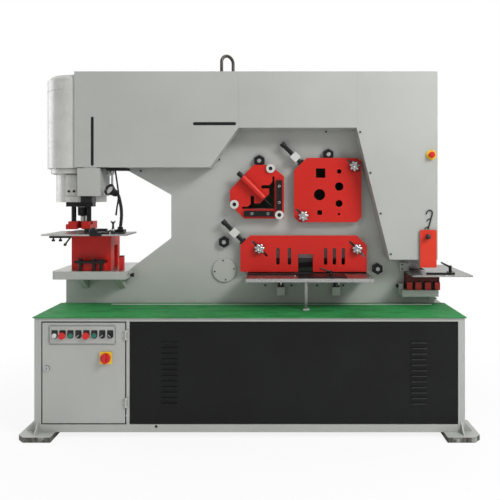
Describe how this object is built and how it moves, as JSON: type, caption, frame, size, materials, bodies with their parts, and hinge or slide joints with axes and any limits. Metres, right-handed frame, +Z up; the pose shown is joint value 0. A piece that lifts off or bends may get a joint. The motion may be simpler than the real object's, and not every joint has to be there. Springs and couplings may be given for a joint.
{
  "type": "hydraulic ironworker",
  "caption": "Floor-standing hydraulic metalworking machine with punching, angle, bar and plate shearing and notching stations on a cabinet base.",
  "frame": {"origin": "centre of the footprint's bounding box, on the floor", "axes": "+X along the machine from the punch to the notcher, +Y from the operator to the back, +Z up"},
  "size_m": [2.784, 1.05, 2.396],
  "materials": {
    "machine_paint": "satin light warm grey enamel, fine orange peel",
    "red_paint": "semi-gloss red enamel",
    "panel_paint": "fine textured black powder coat",
    "mat_rubber": "matte ribbed rubber",
    "bare_steel": "ground steel with oil film",
    "black_oxide": "black oxide steel",
    "chrome_plate": "cast and polished",
    "cylinder_paint": "gloss light grey enamel",
    "dark_red_paint": "satin dark red enamel",
    "beam_steel": "machined steel",
    "button_red": "gloss",
    "button_green": "gloss",
    "button_black": "satin",
    "unit_paint": "hammered grey enamel"
  },
  "bodies": {
    "machine": {"base_frame": "machine_paint", "work_mat": "mat_rubber", "front_panel": "panel_paint", "base_panels": "machine_paint", "hydraulic_unit": "unit_paint", "electric_panel": "machine_paint", "front_frame_plate": "machine_paint", "rear_frame_plate": "machine_paint", "frame_pins": "black_oxide", "pivot_covers": "machine_paint", "left_cover": "machine_paint", "centre_cover": "machine_paint", "right_cover": "machine_paint", "lifting_eye": "bare_steel", "punch_cylinder": "cylinder_paint", "stroke_box": "machine_paint", "die_bolster": "machine_paint", "die_block": "red_paint", "die_clamps": "black_oxide", "punch_die": "bare_steel", "punch_table": "bare_steel", "lamp_stand": "black_oxide", "angle_plate": "red_paint", "fixed_blades": "black_oxide", "shear_cylinder": "machine_paint", "shear_table": "bare_steel", "notcher_die": "dark_red_paint", "notcher_bracket": "machine_paint", "notcher_table": "bare_steel"},
    "ram": {"punch_ram": "bare_steel", "punch_tool": "black_oxide"},
    "stripper_fork": {"stripper": "red_paint"},
    "punch_fence_slide": {"punch_fence": "black_oxide"},
    "lamp": {"lamp_head": "black_oxide"},
    "shear_beam": {"swing_beam": "beam_steel", "beam_blades": "black_oxide"},
    "cylinder_rod": {"shear_rod": "chrome_plate"},
    "notcher_slide": {"notcher_ram": "bare_steel"},
    "angle_presser": {"angle_hold_down": "black_oxide"},
    "bar_hold_down": {"bar_guard": "red_paint"},
    "bar_hold_down_screw": {"bar_screw": "black_oxide"},
    "plate_hold_down": {"plate_guard": "red_paint"},
    "plate_hold_down_screw": {"plate_screw": "black_oxide"},
    "knob_1": {"star_knob_1": "chrome_plate"},
    "knob_2": {"star_knob_2": "chrome_plate"},
    "knob_3": {"star_knob_3": "chrome_plate"},
    "knob_4": {"star_knob_4": "chrome_plate"},
    "shear_fence_slide": {"shear_fence": "black_oxide"},
    "notcher_guard_slide": {"notcher_guard": "red_paint"},
    "emergency_stop": {"e_stop_button": "button_red"},
    "control_door": {"door": "machine_paint"},
    "lock": {"door_lock": "chrome_plate"},
    "stop_1": {"stop_button_1": "button_red"},
    "stop_2": {"stop_button_2": "button_red"},
    "start_1": {"start_button_1": "button_green"},
    "start_2": {"start_button_2": "button_green"},
    "mode_selector_1": {"selector_1": "button_black"},
    "mode_selector_2": {"selector_2": "button_black"},
    "mode_selector_3": {"selector_3": "button_black"},
    "main_switch": {"switch_knob": "button_red"}
  },
  "joints": [
    {"name": "punch_stroke", "type": "slide", "parent": "machine", "child": "ram", "axis": [0, 0, -1], "range_m": [0, 0.058]},
    {"name": "stripper_height", "type": "slide", "parent": "machine", "child": "stripper_fork", "axis": [0, 0, 1], "range_m": [-0.01, 0.02]},
    {"name": "punch_fence_travel", "type": "slide", "parent": "machine", "child": "punch_fence_slide", "axis": [0, -1, 0], "range_m": [0, 0.08]},
    {"name": "lamp_tilt", "type": "hinge", "parent": "machine", "child": "lamp", "pos_m": [-0.87803, -0.10018, 1.43374], "axis": [1, 0, 0], "range_deg": [-20, 20]},
    {"name": "shear_stroke", "type": "hinge", "parent": "machine", "child": "shear_beam", "pos_m": [-0.189, 0.075, 0.932], "axis": [0, 1, 0], "range_deg": [0, 3.4]},
    {"name": "cylinder_rod_travel", "type": "slide", "parent": "machine", "child": "cylinder_rod", "axis": [0, 0, -1], "range_m": [0, 0.08]},
    {"name": "notcher_stroke", "type": "slide", "parent": "machine", "child": "notcher_slide", "axis": [0, 0, -1], "range_m": [0, 0.08]},
    {"name": "angle_presser_travel", "type": "slide", "parent": "machine", "child": "angle_presser", "axis": [0.7071, 0, -0.7071], "range_m": [-0.04, 0.018]},
    {"name": "bar_hold_down_travel", "type": "slide", "parent": "machine", "child": "bar_hold_down", "axis": [0.7071, 0, -0.7071], "range_m": [-0.012, 0.008]},
    {"name": "bar_screw_travel", "type": "slide", "parent": "machine", "child": "bar_hold_down_screw", "axis": [0.7071, 0, -0.7071], "range_m": [-0.012, 0.008]},
    {"name": "plate_hold_down_travel", "type": "slide", "parent": "machine", "child": "plate_hold_down", "axis": [0.7071, 0, -0.7071], "range_m": [-0.015, 0.01]},
    {"name": "plate_screw_travel", "type": "slide", "parent": "machine", "child": "plate_hold_down_screw", "axis": [0.7071, 0, -0.7071], "range_m": [-0.015, 0.01]},
    {"name": "knob_1_turn", "type": "hinge", "parent": "machine", "child": "knob_1", "pos_m": [0.674, -0.08, 1.624], "axis": [0, -1, 0], "continuous": true},
    {"name": "knob_2_turn", "type": "hinge", "parent": "machine", "child": "knob_2", "pos_m": [0.337, -0.08, 1.294], "axis": [0, -1, 0], "continuous": true},
    {"name": "knob_3_turn", "type": "hinge", "parent": "machine", "child": "knob_3", "pos_m": [0.047, -0.08, 1.08], "axis": [0, -1, 0], "continuous": true},
    {"name": "knob_4_turn", "type": "hinge", "parent": "machine", "child": "knob_4", "pos_m": [0.692, -0.08, 1.077], "axis": [0, -1, 0], "continuous": true},
    {"name": "shear_fence_travel", "type": "slide", "parent": "machine", "child": "shear_fence_slide", "axis": [0, 1, 0], "range_m": [-0.04, 0.04]},
    {"name": "notcher_guard_height", "type": "slide", "parent": "machine", "child": "notcher_guard_slide", "axis": [0, 0, 1], "range_m": [-0.035, 0.03]},
    {"name": "emergency_stop_press", "type": "slide", "parent": "machine", "child": "emergency_stop", "axis": [0, 1, 0], "range_m": [0, 0.005]},
    {"name": "door_swing", "type": "hinge", "parent": "machine", "child": "control_door", "pos_m": [-0.734, -0.456, 0.408], "axis": [0, 0, 1], "range_deg": [0, 110]},
    {"name": "lock_turn", "type": "hinge", "parent": "control_door", "child": "lock", "pos_m": [-1.201, -0.45, 0.408], "axis": [0, -1, 0], "range_deg": [0, 90]},
    {"name": "stop_1_press", "type": "slide", "parent": "control_door", "child": "stop_1", "axis": [0, 1, 0], "range_m": [0, 0.005], "stiffness_N_per_m": 900},
    {"name": "stop_2_press", "type": "slide", "parent": "control_door", "child": "stop_2", "axis": [0, 1, 0], "range_m": [0, 0.005], "stiffness_N_per_m": 900},
    {"name": "start_1_press", "type": "slide", "parent": "control_door", "child": "start_1", "axis": [0, 1, 0], "range_m": [0, 0.005], "stiffness_N_per_m": 900},
    {"name": "start_2_press", "type": "slide", "parent": "control_door", "child": "start_2", "axis": [0, 1, 0], "range_m": [0, 0.005], "stiffness_N_per_m": 900},
    {"name": "mode_selector_1_turn", "type": "hinge", "parent": "control_door", "child": "mode_selector_1", "pos_m": [-1.012, -0.46, 0.603], "axis": [0, 1, 0], "range_deg": [-90, 0]},
    {"name": "mode_selector_2_turn", "type": "hinge", "parent": "control_door", "child": "mode_selector_2", "pos_m": [-0.871, -0.46, 0.603], "axis": [0, 1, 0], "range_deg": [-90, 0]},
    {"name": "mode_selector_3_turn", "type": "hinge", "parent": "control_door", "child": "mode_selector_3", "pos_m": [-0.824, -0.46, 0.603], "axis": [0, 1, 0], "range_deg": [0, 90]},
    {"name": "main_switch_turn", "type": "hinge", "parent": "control_door", "child": "main_switch", "pos_m": [-0.85, -0.47, 0.471], "axis": [0, 1, 0], "range_deg": [0, 90]}
  ],
  "couplings": [
    {"joint": "cylinder_rod_travel", "follows": "shear_stroke", "m_per_rad": 1.213},
    {"joint": "notcher_stroke", "follows": "shear_stroke", "m_per_rad": 1.312},
    {"joint": "bar_screw_travel", "follows": "bar_hold_down_travel", "ratio": 1},
    {"joint": "plate_screw_travel", "follows": "plate_hold_down_travel", "ratio": 1}
  ]
}
